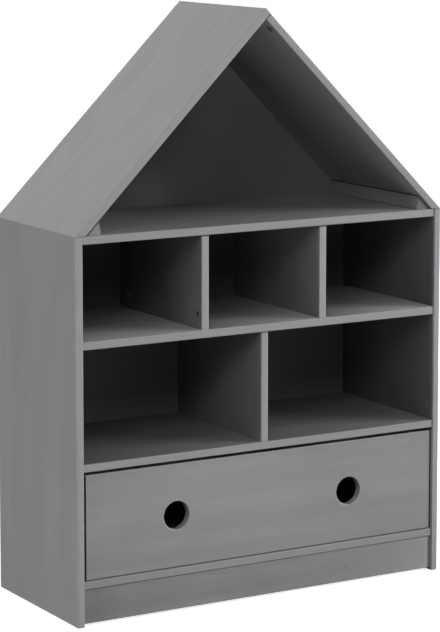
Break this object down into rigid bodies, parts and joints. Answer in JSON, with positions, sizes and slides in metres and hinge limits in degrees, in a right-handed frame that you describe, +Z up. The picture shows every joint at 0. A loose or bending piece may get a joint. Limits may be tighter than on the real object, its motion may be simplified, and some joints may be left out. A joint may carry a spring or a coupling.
{
  "type": "bookcase",
  "caption": "House shaped children's bookcase with a gabled open attic, compartments divided by upright boards, and a wide inset drawer with round finger holes.",
  "frame": {"origin": "on the floor under the middle of the bookcase's bounding box", "axes": "+Z up, front towards -Y, +X to the right as seen from the front"},
  "size_m": [0.82, 0.333, 1.15],
  "materials": {
    "painted_pine": "solid pine boards with a thin graphite grey satin paint that lets the grain show faintly; long edges softly rounded",
    "painted_hardboard": "thin hardboard painted the same graphite grey on the inner face",
    "zinc_steel": "zinc plated fittings, dull silver",
    "beech_dowel": "plain beech, grooved, unfinished",
    "nylon": "off-white moulded glide buttons"
  },
  "bodies": {
    "carcass": {"left_side": "painted_pine", "right_side": "painted_pine", "top_shelf": "painted_pine", "middle_shelf": "painted_pine", "lower_shelf": "painted_pine", "bottom_board": "painted_pine", "upper_left_divider": "painted_pine", "upper_right_divider": "painted_pine", "lower_divider": "painted_pine", "plinth": "painted_pine", "left_roof_panel": "painted_pine", "right_roof_panel": "painted_pine", "left_roof_cleat": "painted_pine", "right_roof_cleat": "painted_pine", "back_panel": "painted_hardboard", "gable_panel": "painted_hardboard", "shelf_cam_locks": "zinc_steel", "shelf_cam_bolts": "zinc_steel", "shelf_dowels": "beech_dowel", "divider_cam_locks": "zinc_steel", "divider_cam_bolts": "zinc_steel", "divider_dowels": "beech_dowel", "roof_cam_locks": "zinc_steel", "roof_cam_bolts": "zinc_steel", "roof_dowels": "beech_dowel", "cleat_screws": "zinc_steel", "cleat_dowels": "beech_dowel", "plinth_dowels": "beech_dowel", "back_panel_pins": "zinc_steel", "gable_pins": "zinc_steel", "drawer_stop_blocks": "painted_pine", "stop_block_screws": "zinc_steel"},
    "drawer": {"drawer_front": "painted_pine", "drawer_left_side": "painted_pine", "drawer_right_side": "painted_pine", "drawer_back": "painted_pine", "drawer_bottom": "painted_hardboard", "drawer_cam_locks": "zinc_steel", "drawer_cam_bolts": "zinc_steel", "drawer_screws": "zinc_steel", "drawer_glides": "nylon"}
  },
  "joints": [
    {"name": "drawer_slide", "type": "slide", "parent": "carcass", "child": "drawer", "axis": [0, -1, 0], "range_m": [0, 0.262]}
  ]
}
